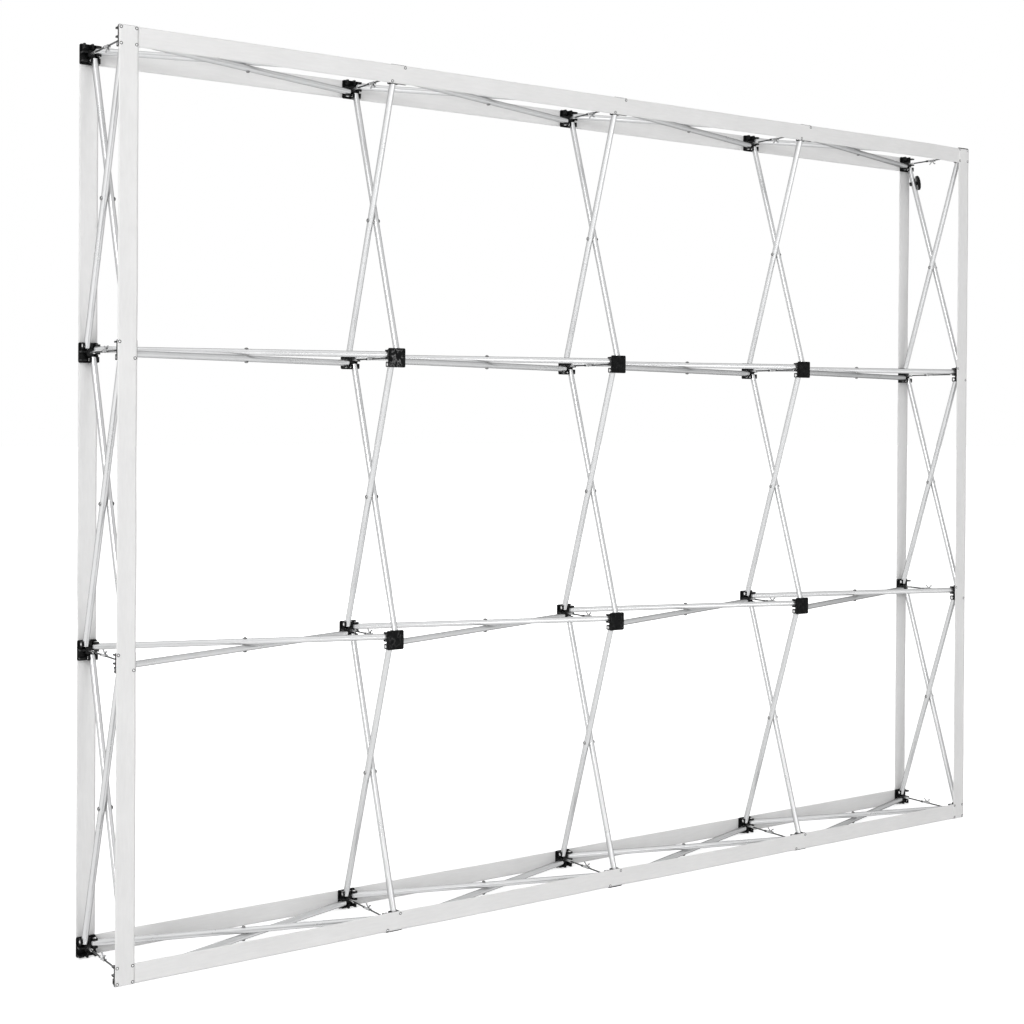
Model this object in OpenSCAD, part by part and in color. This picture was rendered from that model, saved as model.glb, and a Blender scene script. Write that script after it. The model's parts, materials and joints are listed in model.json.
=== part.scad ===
// Folding banner wall frame: a straight lattice of crossed tubes between a front and a rear grid of hubs.
// X runs along the wall, the front faces -Y, Z is up. The origin is on the floor, midway in width and depth.

/* [Lattice] */
// Distance between neighbouring hub centres, along and up
bay_pitch = 732; // [600:1:850]
// Distance between the outer faces of the front and rear hub plates
frame_depth = 256; // [225:1:320]

/* [Hubs] */
// Side of the square hub plate
plate_side = 50; // [50:0.5:60]
// Thickness of the hub plate
plate_thick = 3; // [2:0.1:4]
// Corner radius of the hub plate
plate_corner_r = 4; // [2:0.5:5]
// Height of the rim that stiffens the plate's edge
rim_height = 1.2; // [0.6:0.1:2]
// Width of that rim
rim_width = 1.6; // [1:0.1:2]
// Thickness of one fork ear
ear_thick = 4; // [3:0.1:4.4]
// Width of a fork ear, along its tube
ear_width = 14; // [10:0.1:15]
// Radius of an ear's two free corners
ear_corner_r = 2.5; // [1:0.1:4]
// Distance from the hub's centre to a tube's pivot, along the plate
pivot_out = 17; // [17:0.1:17.5]
// Distance from the plate's outer face to a tube's pivot
pivot_depth = 16; // [14:0.1:20]
// Side of the square centre boss
boss_side = 17; // [14:0.1:17.4]
// Height of the centre boss above the plate's outer face
boss_height = 18; // [15:0.1:22]
// Corner radius of the centre boss
boss_corner_r = 3; // [1:0.1:4]
// Spacing of the four screw holes in the plate's corners
screw_pitch = 38; // [36:0.1:39]
// Diameter of a screw hole
screw_hole_d = 3.3; // [2.5:0.1:3.6]
// Depth of a screw hole
screw_hole_depth = 6; // [4:0.1:6.5]
// Diameter of the boss round a screw hole
screw_boss_d = 7; // [6:0.1:7.5]
// Height of that boss above the plate's outer face
screw_boss_height = 7; // [6.8:0.1:7.4]

/* [Tubes] */
// Outer diameter of a tube
tube_d = 16; // [14:0.1:16.2]
// Wall of a tube
tube_wall = 1.2; // [0.8:0.1:2]
// Gap between a tube and each ear of its fork
tube_side_gap = 0.3; // [0.2:0.05:0.6]
// Length of an end plug inside the tube
plug_length = 32; // [20:1:60]
// Gap between an end plug and the tube's bore
plug_gap = 0.05; // [0.02:0.01:0.1]
// Depth of the two long flats on an end plug
plug_flat = 1; // [0.8:0.1:1.5]

/* [Pins and rivets] */
// Diameter of a pivot pin
pivot_pin_d = 5; // [3:0.1:6]
// Diameter of a pivot pin's head
pivot_head_d = 8.5; // [7:0.1:9]
// Height of a pivot pin's head
pivot_head_height = 1.3; // [0.8:0.1:1.8]
// Diameter of the rivet through a crossed pair
cross_rivet_d = 5; // [3:0.1:6]
// Diameter of that rivet's head
cross_head_d = 11; // [8:0.1:12]
// Height of that rivet's head
cross_head_height = 3.5; // [1.5:0.1:4]
// Diameter of the washer between two crossed tubes
washer_d = 13; // [10:0.1:15]
// Radial clearance of a pin in its holes
pin_fit = 0.05; // [0.03:0.01:0.1]

/* [Lock links] */
// Diameter of the two lock rods
rod_d = 4.4; // [4:0.1:5]
// Outer diameter of a ferrule
ferrule_d = 6.6; // [6.2:0.1:8]
// Length of a ferrule
ferrule_length = 36; // [25:1:45]
// Length of a ferrule inside its hub
ferrule_seat = 10; // [6:0.5:12]
// Length of a rod inside its ferrule
rod_seat = 24; // [15:1:24]
// Radial clearance of rods and ferrules in their sockets
rod_fit = 0.05; // [0.03:0.01:0.1]
// Distance from mid-depth back to the hook's pin
hook_pin_back = 17; // [14:0.5:19]
// Diameter of the hook's pin
hook_pin_d = 3; // [2:0.1:3.5]
// Diameter of its heads
hook_pin_head_d = 5; // [4.5:0.1:6]
// Height of its heads
hook_pin_head_height = 0.8; // [0.5:0.1:1.2]
// Width of the rear rod's flat eye
eye_width = 4.6; // [4.4:0.1:5]
// Height of the rear rod's flat eye
eye_height = 6; // [5.6:0.1:6.6]
// Length of the flat eye behind its pin
eye_back = 14; // [8:0.5:15]
// Diameter of the front rod's head
catch_d = 4.6; // [4.2:0.1:4.8]
// Length of the front rod's head
catch_length = 5; // [4:0.1:6]
// Diameter of the neck behind that head
neck_d = 2.8; // [2.4:0.1:3.2]
// Length of the neck
neck_length = 6; // [5.5:0.1:8]
// Distance from the hook's pin to the face that catches the head
hook_reach = 20; // [19:0.1:21]
// Play between the hook's nose and the head
hook_play = 1; // [0.8:0.1:1.2]
// Sheet thickness of the hook
hook_sheet = 1.2; // [1:0.1:1.4]
// Metal of the hook round its pin
hook_eye_wall = 2; // [1.6:0.1:2.4]
// Gap between the hook's cheeks and what they straddle
hook_gap = 0.3; // [0.2:0.05:0.5]
// Thickness of the hook's nose
nose_thick = 2.5; // [2:0.1:2.6]
// Gap between the hook's web and the rods' flat eye
web_gap = 0.6; // [0.4:0.1:1]
// Distance from the hook's pin to the middle of its two wings' feet
wing_foot = 12; // [10:0.5:15]
// Distance between those feet
wing_feet_apart = 3; // [2:0.1:4]
// Length of the hook's rear wing along the rod, from the middle of the feet
rear_wing_reach = 12; // [8:0.5:16]
// Length of the hook's front wing along the rod, from the middle of the feet
front_wing_reach = 12; // [9:0.5:15]
// Height of the wing tips above the rod's centre
wing_height = 14; // [12:0.1:16]
// Width of the wings
wing_width = 4; // [3:0.1:6]
// Outer radius of the curl at the front wing's tip
curl_r = 2.2; // [2:0.1:3]

/* [Bands] */
// Width of a hook-and-loop band
band_width = 48; // [44:0.5:50]
// Thickness of a band
band_thick = 1.2; // [0.8:0.1:2]
// Length over which a lapped band comes down to the hubs' level
band_ramp = 14; // [8:0.5:30]
// Diameter of a band rivet's head
band_rivet_head_d = 8; // [6:0.1:9]
// Height of a band rivet's head
band_rivet_head_height = 1.6; // [1:0.1:2.2]
// Diameter of a band rivet's shank
band_rivet_d = 3.2; // [2.4:0.1:3.2]
// Side of a hook patch on an inner front hub
patch_side = 47; // [40:0.5:50]

/* [Hand knob] */
// Distance down the tube from its pivot to the knob
knob_along = 54; // [50:1:90]
// Turn of the knob's axis round the tube, from straight along the wall
knob_turn = 36; // [20:1:40]
// Diameter of the knob
knob_d = 50; // [40:0.5:52]
// Thickness of the knob's rim
knob_thick = 8; // [6:0.1:10]
// Depth of the finger hollow in the knob's face
knob_dish = 2.5; // [1:0.1:3]
// Chamfer of the knob's rim
knob_edge = 2; // [1:0.1:3]
// Width of the flat ring round the finger hollow, with the chamfer
knob_ring = 7; // [5:0.1:9]
// Scallops round the knob's rim
knob_scallops = 12; // [6:1:16]
// Radius of a scallop
scallop_r = 3; // [2:0.1:4]
// Distance from the tube's axis to the knob's near face
knob_standoff = 11.5; // [10:0.1:14]
// Diameter of the knob's neck
knob_neck_d = 14; // [11:0.1:18]
// Diameter of the knob's screw
knob_screw_d = 6; // [4:0.1:8]
// Diameter of the nut on the other side
knob_nut_d = 14; // [12:0.1:16]
// Thickness of that nut
knob_nut_thick = 4; // [3:0.1:8]
// Distance across the nut's two flats
knob_nut_flats = 12; // [10:0.1:13]
// Length of the screw past the nut
knob_screw_tail = 1; // [0.5:0.1:3]
// Length of the screw inside the knob's rim
knob_screw_bite = 3; // [2:0.1:4]

/* [Hidden] */

$fn = 48;
bays_wide = 4;
bays_high = 3;
last_col = bays_wide;
last_row = bays_high;
// Small lap by which two solids of one piece reach into each other
lap = 0.5;
// Length by which a cut runs past the face that it opens
over = 1;

// A fork's ears stand either side of a tube that lies beside the hub's centre line
tube_r = tube_d / 2;
tube_offset = tube_r + tube_side_gap;
fork_inner = 0;
fork_outer = 2 * tube_offset;
// Rest line of a tube, from the pivot of one hub to the pivot of the next
run_along = bay_pitch - 2 * pivot_out;
run_across = frame_depth - 2 * pivot_depth;
tube_angle = atan2(run_across, run_along);
tube_length = norm([run_along, run_across]);
washer_thick = 2 * tube_side_gap;

pivot_hole_d = pivot_pin_d + 2 * pin_fit;
cross_hole_d = cross_rivet_d + 2 * pin_fit;
screw_at = screw_pitch / 2;
// The webs between ears stay below the pin heads
web_top = pivot_depth - pivot_head_d / 2 - over;
plug_r = tube_r - tube_wall - plug_gap;
// A tube ends where the plug's dome has grown to the bore
tube_past = sqrt(tube_r * tube_r - plug_r * plug_r);

// Heights along a lock link, counted from a hub plate's outer face
mid_depth = frame_depth / 2;
ferrule_start = boss_height - ferrule_seat;
ferrule_end = ferrule_start + ferrule_length;
rod_start = ferrule_end - rod_seat;
hook_pin_at = mid_depth - hook_pin_back;
eye_start = hook_pin_at - eye_back;
catch_start = hook_pin_at + hook_reach - hook_play - catch_length;
neck_start = catch_start + catch_length;
neck_end = neck_start + neck_length;
cheek_inner = eye_width / 2 + hook_gap;
cheek_outer = cheek_inner + hook_sheet;
hook_pin_hole_d = hook_pin_d + 2 * pin_fit;
hook_eye_r = hook_pin_d / 2 + hook_eye_wall;
web_low = eye_height / 2 + web_gap;
web_high = web_low + hook_sheet;
web_back = web_low;
nose_low = -catch_d / 2;
nose_end = hook_reach + nose_thick;
slot_r = neck_d / 2 + hook_gap;
// Chamfer of the front rod's head, and length over which its neck grows to the rod again
catch_chamfer = 0.8;
neck_taper = 1;

plate_edge_z = plate_side / 2;
band_reach = bay_pitch * bays_wide / 2 + band_width / 2;
rivet_shank = screw_hole_depth - lap;
// Length of the knob's screw from the tube into the knob, and from the tube's axis to the nut
knob_screw_grip = knob_standoff - tube_r + knob_screw_bite;
knob_nut_gap = tube_r + tube_side_gap;

function col_x(i) = (i - bays_wide / 2) * bay_pitch;
function row_z(j) = plate_edge_z + j * bay_pitch;
function is_inner(i, j) = i > 0 && i < last_col && j > 0 && j < last_row;
function is_corner(i, j) = (i == 0 || i == last_col) && (j == 0 || j == last_row);
// Whether a rear hub's fork holds a tube; forks count in quarter turns from +X to +Z
function fork_used(i, j, k) =
    k == 0 ? i < last_col : k == 1 ? j < last_row : k == 2 ? i > 0 : j > 0;
// Latch wings point up, but down in the top row
function wing_turn(j) = j == last_row ? 180 : 0;

// Carries a hub drawn face down on the floor to the rear grid, its plate outward
module at_rear(i, j) {
    translate([col_x(i), frame_depth / 2, row_z(j)]) rotate([90, 0, 0]) children();
}

// The front grid has the same hub turned half round
module at_front(i, j) {
    translate([col_x(i), -frame_depth / 2, row_z(j)]) rotate([0, 0, 180]) rotate([90, 0, 0]) children();
}

module rounded_square(side, r) {
    square([side, side - 2 * r], center = true);
    square([side - 2 * r, side], center = true);
    for (x = [-1, 1], y = [-1, 1])
        translate([x * (side / 2 - r), y * (side / 2 - r)]) circle(r);
}

// Side view of one ear: a square end at the pivot, and a low web that runs in to its neighbour
module ear_outline(inner_end) {
    translate([pivot_out - ear_width / 2, plate_thick - lap])
        square([ear_width, pivot_depth - plate_thick + lap]);
    translate([pivot_out, pivot_depth]) rounded_square(ear_width, ear_corner_r);
    translate([inner_end, plate_thick - lap])
        square([pivot_out - inner_end, web_top - plate_thick + lap]);
}

module ear(low, inner_end) {
    translate([0, low + ear_thick, 0]) rotate([90, 0, 0])
        linear_extrude(ear_thick) ear_outline(inner_end);
}

// A fork points along +X. Its outer ear runs in to meet the next fork's inner ear, like a pinwheel
module fork() {
    ear(fork_inner - ear_thick, boss_side / 2 - lap);
    ear(fork_outer, ear_thick - lap);
}

module fork_hole() {
    translate([pivot_out, fork_outer + ear_thick + pin_fit, pivot_depth]) rotate([90, 0, 0])
        cylinder(d = pivot_hole_d, h = fork_outer + 2 * (ear_thick + pin_fit));
}

module each_fork() {
    for (k = [0:3]) rotate([0, 0, 90 * k]) children();
}

module each_screw() {
    for (x = [-1, 1], y = [-1, 1]) translate([x * screw_at, y * screw_at, 0]) children();
}

module hub() {
    difference() {
        union() {
            linear_extrude(plate_thick) rounded_square(plate_side, plate_corner_r);
            linear_extrude(plate_thick + rim_height) difference() {
                rounded_square(plate_side, plate_corner_r);
                rounded_square(plate_side - 2 * rim_width, plate_corner_r - rim_width / 2);
            }
            linear_extrude(boss_height) rounded_square(boss_side, boss_corner_r);
            each_fork() fork();
            each_screw() cylinder(d = screw_boss_d, h = screw_boss_height);
        }
        each_fork() fork_hole();
        each_screw() translate([0, 0, -over]) cylinder(d = screw_hole_d, h = screw_hole_depth + over);
        translate([0, 0, ferrule_start])
            cylinder(d = ferrule_d + 2 * rod_fit, h = boss_height);
    }
}

module front_outer_hubs() {
    color("#17181a") for (i = [0:last_col], j = [0:last_row])
        if (!is_inner(i, j)) at_front(i, j) hub();
}

module front_inner_hubs() {
    color("#17181a") for (i = [0:last_col], j = [0:last_row])
        if (is_inner(i, j)) at_front(i, j) hub();
}

module rear_outer_hubs() {
    color("#17181a") for (i = [0:last_col], j = [0:last_row])
        if (!is_inner(i, j)) at_rear(i, j) hub();
}

module rear_inner_hubs() {
    color("#17181a") for (i = [0:last_col], j = [0:last_row])
        if (is_inner(i, j)) at_rear(i, j) hub();
}

module tube_holes() {
    for (x = [0, tube_length]) translate([x, 0, 0])
        cylinder(d = pivot_hole_d, h = 2 * tube_d, center = true);
    translate([tube_length / 2, 0, 0]) cylinder(d = cross_hole_d, h = 2 * tube_d, center = true);
}

// A tube lies along +X with its pin holes along Z and runs from one pivot, at the origin, to the other and a
// little past both
module tube() {
    difference() {
        translate([-tube_past, 0, 0]) rotate([0, 90, 0]) difference() {
            cylinder(r = tube_r, h = tube_length + 2 * tube_past);
            translate([0, 0, -over])
                cylinder(r = tube_r - tube_wall, h = tube_length + 2 * tube_past + 2 * over);
        }
        tube_holes();
    }
}

// An end plug fills a tube's end, and a dome of the tube's own radius rounds it off. It has two long flats,
// through which the pin passes
module end_plug() {
    difference() {
        intersection() {
            union() {
                rotate([0, 90, 0]) cylinder(r = plug_r, h = plug_length);
                intersection() {
                    sphere(tube_r);
                    translate([-tube_d, 0, 0]) rotate([0, 90, 0]) cylinder(r = plug_r, h = tube_d + over);
                }
            }
            translate([-tube_d, -tube_d, plug_flat - plug_r])
                cube([tube_d + plug_length + over, 2 * tube_d, 2 * (plug_r - plug_flat)]);
        }
        cylinder(d = pivot_hole_d, h = 2 * tube_d, center = true);
    }
}

module plug_pair() {
    end_plug();
    translate([tube_length, 0, 0]) mirror([1, 0, 0]) end_plug();
}

// Places children of one crossed pair of a row: the bay between columns i and i + 1
module row_pair(i, j) {
    translate([col_x(i) + pivot_out, 0, row_z(j)]) {
        translate([0, pivot_depth - frame_depth / 2, -tube_offset])
            rotate([0, 0, tube_angle]) children();
        translate([0, frame_depth / 2 - pivot_depth, tube_offset])
            rotate([0, 0, -tube_angle]) children();
    }
}

// The same for a column: the bay between rows j and j + 1
module column_pair(i, j) {
    translate([col_x(i), 0, row_z(j) + pivot_out]) {
        translate([tube_offset, pivot_depth - frame_depth / 2, 0])
            rotate([-tube_angle, 0, 0]) rotate([0, -90, 0]) children();
        translate([-tube_offset, frame_depth / 2 - pivot_depth, 0])
            rotate([tube_angle, 0, 0]) rotate([0, -90, 0]) children();
    }
}

module row_tubes(j) {
    color("#c9cccf") for (i = [0:bays_wide - 1]) row_pair(i, j) tube();
}

// The tube that carries the hand knob has a cross hole for its screw
module column_tubes(i) {
    color("#c9cccf") difference() {
        for (j = [0:bays_high - 1]) column_pair(i, j) tube();
        if (i == last_col) at_knob()
            cylinder(d = knob_screw_d + 2 * pin_fit, h = 4 * tube_d, center = true);
    }
}

module row_tube_plugs() {
    color("#8d9094") for (i = [0:bays_wide - 1], j = [0:last_row]) row_pair(i, j) plug_pair();
}

module column_tube_plugs() {
    color("#8d9094") for (i = [0:last_col], j = [0:bays_high - 1]) column_pair(i, j) plug_pair();
}

// Low domed head on the XY plane, rising along +Z, as a spherical cap
module domed_head(d, h) {
    r = (d * d / 4 + h * h) / (2 * h);
    intersection() {
        translate([0, 0, h - r]) sphere(r);
        cylinder(d = d + over, h = h + over);
    }
}

// A pin from low to high along +Z with a domed head at each end
module headed_pin(d, low, high, head_d, head_h) {
    translate([0, 0, low - lap / 2]) cylinder(d = d, h = high - low + lap);
    translate([0, 0, high]) domed_head(head_d, head_h);
    translate([0, 0, low]) mirror([0, 0, 1]) domed_head(head_d, head_h);
}

module pivot_pins_of(i, j) {
    for (k = [0:3]) if (fork_used(i, j, k)) rotate([0, 0, 90 * k])
        translate([pivot_out, 0, pivot_depth]) rotate([-90, 0, 0])
            headed_pin(pivot_pin_d, fork_inner - ear_thick, fork_outer + ear_thick, pivot_head_d,
                pivot_head_height);
}

module rear_pivot_pins() {
    color("#b4b6b8") for (i = [0:last_col], j = [0:last_row]) at_rear(i, j) pivot_pins_of(i, j);
}

// A front hub is turned half round, so its +X fork faces the wall's left
module front_pivot_pins() {
    color("#b4b6b8") for (i = [0:last_col], j = [0:last_row])
        at_front(i, j) pivot_pins_of(last_col - i, j);
}

// The rivet of a crossed pair stands along Z at the middle of both tubes
module cross_rivet() {
    headed_pin(cross_rivet_d, -2 * tube_r - tube_side_gap, 2 * tube_r + tube_side_gap, cross_head_d,
        cross_head_height);
}

module cross_washer() {
    difference() {
        cylinder(d = washer_d, h = washer_thick, center = true);
        cylinder(d = cross_hole_d, h = 2 * washer_thick, center = true);
    }
}

module at_row_crossing(i, j) {
    translate([col_x(i) + bay_pitch / 2, 0, row_z(j)]) children();
}

module at_column_crossing(i, j) {
    translate([col_x(i), 0, row_z(j) + bay_pitch / 2]) rotate([0, 90, 0]) children();
}

module row_cross_rivets() {
    color("#b4b6b8") for (i = [0:bays_wide - 1], j = [0:last_row]) at_row_crossing(i, j) cross_rivet();
}

module column_cross_rivets() {
    color("#b4b6b8") for (i = [0:last_col], j = [0:bays_high - 1]) at_column_crossing(i, j) cross_rivet();
}

module cross_washers() {
    color("#e6e6e4") {
        for (i = [0:bays_wide - 1], j = [0:last_row]) at_row_crossing(i, j) cross_washer();
        for (i = [0:last_col], j = [0:bays_high - 1]) at_column_crossing(i, j) cross_washer();
    }
}

// A ferrule stands in the centre boss and takes the end of its rod
module ferrule() {
    translate([0, 0, ferrule_start]) difference() {
        cylinder(d = ferrule_d, h = ferrule_length);
        translate([0, 0, ferrule_length - rod_seat - lap])
            cylinder(d = rod_d + 2 * rod_fit, h = ferrule_length);
    }
}

module rear_ferrules() {
    color("#d4d6d8") for (i = [0:last_col], j = [0:last_row]) at_rear(i, j) ferrule();
}

module front_ferrules() {
    color("#d4d6d8") for (i = [0:last_col], j = [0:last_row]) at_front(i, j) ferrule();
}

// The link is drawn from the rear plate, rising along +Z, with the wings towards +Y
module at_link(i, j) {
    at_rear(i, j) rotate([0, 0, wing_turn(j)]) children();
}

// Turns a side view, X along the link and Y towards the wings, into a solid centred on the link
module link_side(width) {
    rotate([0, -90, 0]) linear_extrude(width, center = true) children();
}

module rear_lock_rods() {
    color("#7e8184") for (i = [0:last_col], j = [0:last_row]) at_link(i, j) difference() {
        union() {
            translate([0, 0, rod_start]) cylinder(d = rod_d, h = eye_start - rod_start + lap);
            link_side(eye_width) {
                translate([eye_start, -eye_height / 2]) square([eye_back, eye_height]);
                translate([hook_pin_at, 0]) circle(d = eye_height);
            }
        }
        translate([0, 0, hook_pin_at]) rotate([0, 90, 0])
            cylinder(d = hook_pin_hole_d, h = 2 * eye_width, center = true);
    }
}

// Outline of the front rod, turned round its own axis: head, neck and shank
module front_lock_rods() {
    shank_end = frame_depth - rod_start;
    color("#7e8184") for (i = [0:last_col], j = [0:last_row]) at_link(i, j)
        rotate_extrude() polygon([
            [0, catch_start], [catch_d / 2 - catch_chamfer, catch_start],
            [catch_d / 2, catch_start + catch_chamfer], [catch_d / 2, neck_start],
            [neck_d / 2, neck_start], [neck_d / 2, neck_end], [rod_d / 2, neck_end + neck_taper],
            [rod_d / 2, shank_end], [0, shank_end]
        ]);
}

module latch_pins() {
    color("#b4b6b8") for (i = [0:last_col], j = [0:last_row]) at_link(i, j)
        translate([0, 0, hook_pin_at]) rotate([0, 90, 0])
            headed_pin(hook_pin_d, -cheek_outer, cheek_outer, hook_pin_head_d, hook_pin_head_height);
}

// One cheek of the hook, seen from the side, its pin at the origin
module hook_cheek_outline() {
    circle(hook_eye_r);
    translate([0, nose_low]) square([nose_end, web_high - nose_low]);
}

// A wing is a strip of the hook's sheet from one point to another
module wing(from, to) {
    run = to - from;
    translate(from) rotate([0, 0, atan2(run[1], run[0])])
        translate([0, -hook_sheet / 2]) square([norm(run), hook_sheet]);
}

// The two wings rise from the web like a V, and the front one ends in a curl for a finger
module wings_outline() {
    mid_web = (web_low + web_high) / 2;
    curl_mid = curl_r - hook_sheet / 2;
    curl_centre = [wing_foot + front_wing_reach - curl_r, wing_height - curl_r];
    wing([wing_foot - wing_feet_apart / 2, mid_web],
        [wing_foot - rear_wing_reach, wing_height - hook_sheet / 2]);
    wing([wing_foot + wing_feet_apart / 2, mid_web], curl_centre + curl_mid * [-cos(45), sin(45)]);
    translate(curl_centre) difference() {
        circle(curl_r);
        circle(curl_r - hook_sheet);
    }
}

module latch_hook(i, j) {
    color("#9a9da0") at_link(i, j) translate([0, 0, hook_pin_at]) difference() {
        union() {
            for (x = [-1, 1]) translate([x * (cheek_inner + hook_sheet / 2), 0, 0])
                link_side(hook_sheet) hook_cheek_outline();
            link_side(2 * cheek_outer) {
                translate([web_back, web_low]) square([nose_end - web_back, hook_sheet]);
                translate([hook_reach, nose_low]) square([nose_thick, web_high - nose_low]);
            }
            link_side(wing_width) wings_outline();
        }
        rotate([0, 90, 0]) cylinder(d = hook_pin_hole_d, h = 4 * cheek_outer, center = true);
        translate([0, 0, hook_reach - lap]) {
            cylinder(r = slot_r, h = nose_thick + 2 * lap);
            translate([-slot_r, -eye_height, 0]) cube([2 * slot_r, eye_height, nose_thick + 2 * lap]);
        }
    }
}

// Screw holes of one hub that a band rivet uses: all four at a corner, two on a diagonal along an edge
function is_level_edge(j) = j == 0 || j == last_row;
function on_edge_diagonal(j, x, y) = is_level_edge(j) ? x * y < 0 : x * y > 0;
function rivet_used(i, j, x, y) =
    is_corner(i, j) || (!is_inner(i, j) && on_edge_diagonal(j, x, y));

module each_band_rivet(i, j) {
    for (x = [-1, 1], y = [-1, 1])
        if (rivet_used(i, j, x, y)) translate([x * screw_at, y * screw_at, 0]) children();
}

module band_holes() {
    for (i = [0:last_col], j = [0:last_row]) {
        at_front(i, j) each_band_rivet(i, j) band_hole();
        at_rear(i, j) each_band_rivet(i, j) band_hole();
    }
}

module band_hole() {
    translate([0, 0, -4 * band_thick]) cylinder(d = screw_hole_d, h = 8 * band_thick);
}

// A level band lies straight on the plates of one row, drawn on the rear face
module level_band(j) {
    translate([-band_reach, frame_depth / 2, row_z(j) - band_width / 2])
        cube([2 * band_reach, band_thick, band_width]);
}

// An upright band laps over the level bands at both ends and comes down to the plates between them
module upright_outline() {
    foot = -band_width / 2;
    step = foot + band_width + lap;
    height = bays_high * bay_pitch;
    polygon([
        [foot, band_thick], [step, band_thick], [step + band_ramp, 0],
        [height - step - band_ramp, 0], [height - step, band_thick], [height - foot, band_thick],
        [height - foot, 2 * band_thick], [height - step, 2 * band_thick],
        [height - step - band_ramp, band_thick], [step + band_ramp, band_thick],
        [step, 2 * band_thick], [foot, 2 * band_thick]
    ]);
}

module upright_band(i) {
    translate([col_x(i) - band_width / 2, frame_depth / 2, row_z(0)])
        rotate([0, -90, 0]) mirror([0, 0, 1]) linear_extrude(band_width) upright_outline();
}

// Bands are drawn at the rear and turned half round for the front, then holed for their rivets
module rear_band() {
    color("#e9e9e7") difference() {
        children();
        band_holes();
    }
}

module front_band() {
    color("#e9e9e7") difference() {
        rotate([0, 0, 180]) children();
        band_holes();
    }
}

module band_rivet(lift) {
    translate([0, 0, -lift]) mirror([0, 0, 1]) domed_head(band_rivet_head_d, band_rivet_head_height);
    translate([0, 0, -lift - lap]) cylinder(d = band_rivet_d, h = lift + lap + rivet_shank);
}

function bands_under(i, j) = is_corner(i, j) ? 2 : 1;

module front_band_rivets() {
    color("#b4b6b8") for (i = [0:last_col], j = [0:last_row]) at_front(i, j)
        each_band_rivet(i, j) band_rivet(bands_under(i, j) * band_thick);
}

module rear_band_rivets() {
    color("#b4b6b8") for (i = [0:last_col], j = [0:last_row]) at_rear(i, j)
        each_band_rivet(i, j) band_rivet(bands_under(i, j) * band_thick);
}

module front_hook_patches() {
    color("#1d1e20") for (i = [0:last_col], j = [0:last_row]) if (is_inner(i, j)) at_front(i, j)
        translate([0, 0, -band_thick]) linear_extrude(band_thick)
            rounded_square(patch_side, plate_corner_r);
}

// The knob's own frame: its screw crosses the tube at the origin and the knob lies along +Z
module at_knob() {
    translate([col_x(last_col) + tube_offset, frame_depth / 2 - pivot_depth, row_z(last_row) - pivot_out])
        rotate([-tube_angle, 0, 0]) translate([0, 0, -knob_along])
            rotate([0, 0, -knob_turn]) rotate([0, 90, 0]) children();
}

module hand_knob() {
    rim_r = knob_d / 2;
    dish_r = rim_r - knob_ring;
    color("#141516") at_knob() difference() {
        union() {
            translate([0, 0, knob_standoff]) rotate_extrude($fn = 96) polygon([
                [0, 0], [rim_r - knob_edge, 0], [rim_r, knob_edge], [rim_r, knob_thick - knob_edge],
                [rim_r - knob_edge, knob_thick], [dish_r, knob_thick],
                [dish_r - knob_dish, knob_thick - knob_dish], [0, knob_thick - knob_dish]
            ]);
            translate([0, 0, tube_r + tube_side_gap])
                cylinder(d = knob_neck_d, h = knob_standoff - tube_r - tube_side_gap + lap);
        }
        for (k = [0:knob_scallops - 1]) rotate([0, 0, 360 * k / knob_scallops])
            translate([rim_r + scallop_r / 2, 0, knob_standoff - over])
                cylinder(r = scallop_r, h = knob_thick + 2 * over);
        translate([0, 0, tube_r])
            cylinder(d = knob_screw_d + 2 * pin_fit, h = knob_screw_grip);
    }
}

module knob_screw() {
    tail = knob_nut_gap + knob_nut_thick + knob_screw_tail;
    color("#8f9295") at_knob() translate([0, 0, -tail])
        cylinder(d = knob_screw_d, h = tail + tube_r + knob_screw_grip - lap);
}

// A round nut with flats for a spanner
module knob_nut() {
    color("#1a1b1c") at_knob() difference() {
        translate([0, 0, -knob_nut_gap - knob_nut_thick]) intersection() {
            cylinder(d = knob_nut_d, h = knob_nut_thick);
            translate([-knob_nut_flats / 2, -knob_nut_d / 2, 0])
                cube([knob_nut_flats, knob_nut_d, knob_nut_thick]);
        }
        cylinder(d = knob_screw_d + 2 * pin_fit, h = 4 * knob_nut_d, center = true);
    }
}

front_outer_hubs();
front_inner_hubs();
rear_outer_hubs();
rear_inner_hubs();
row_tubes(0);  // row_tubes_0
row_tubes(1);  // row_tubes_1
row_tubes(2);  // row_tubes_2
row_tubes(3);  // row_tubes_3
column_tubes(0);  // column_tubes_0
column_tubes(1);  // column_tubes_1
column_tubes(2);  // column_tubes_2
column_tubes(3);  // column_tubes_3
column_tubes(4);  // column_tubes_4
row_tube_plugs();
column_tube_plugs();
front_pivot_pins();
rear_pivot_pins();
row_cross_rivets();
column_cross_rivets();
cross_washers();
front_band() level_band(last_row);  // front_top_band
front_band() level_band(0);  // front_bottom_band
front_band() upright_band(last_col);  // front_left_band
front_band() upright_band(0);  // front_right_band
rear_band() level_band(last_row);  // rear_top_band
rear_band() level_band(0);  // rear_bottom_band
rear_band() upright_band(0);  // rear_left_band
rear_band() upright_band(last_col);  // rear_right_band
front_band_rivets();
rear_band_rivets();
front_hook_patches();
rear_lock_rods();
front_lock_rods();
rear_ferrules();
front_ferrules();
latch_pins();
latch_hook(0, 0);  // latch_hook_c0_r0
latch_hook(1, 0);  // latch_hook_c1_r0
latch_hook(2, 0);  // latch_hook_c2_r0
latch_hook(3, 0);  // latch_hook_c3_r0
latch_hook(4, 0);  // latch_hook_c4_r0
latch_hook(0, 1);  // latch_hook_c0_r1
latch_hook(1, 1);  // latch_hook_c1_r1
latch_hook(2, 1);  // latch_hook_c2_r1
latch_hook(3, 1);  // latch_hook_c3_r1
latch_hook(4, 1);  // latch_hook_c4_r1
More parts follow.
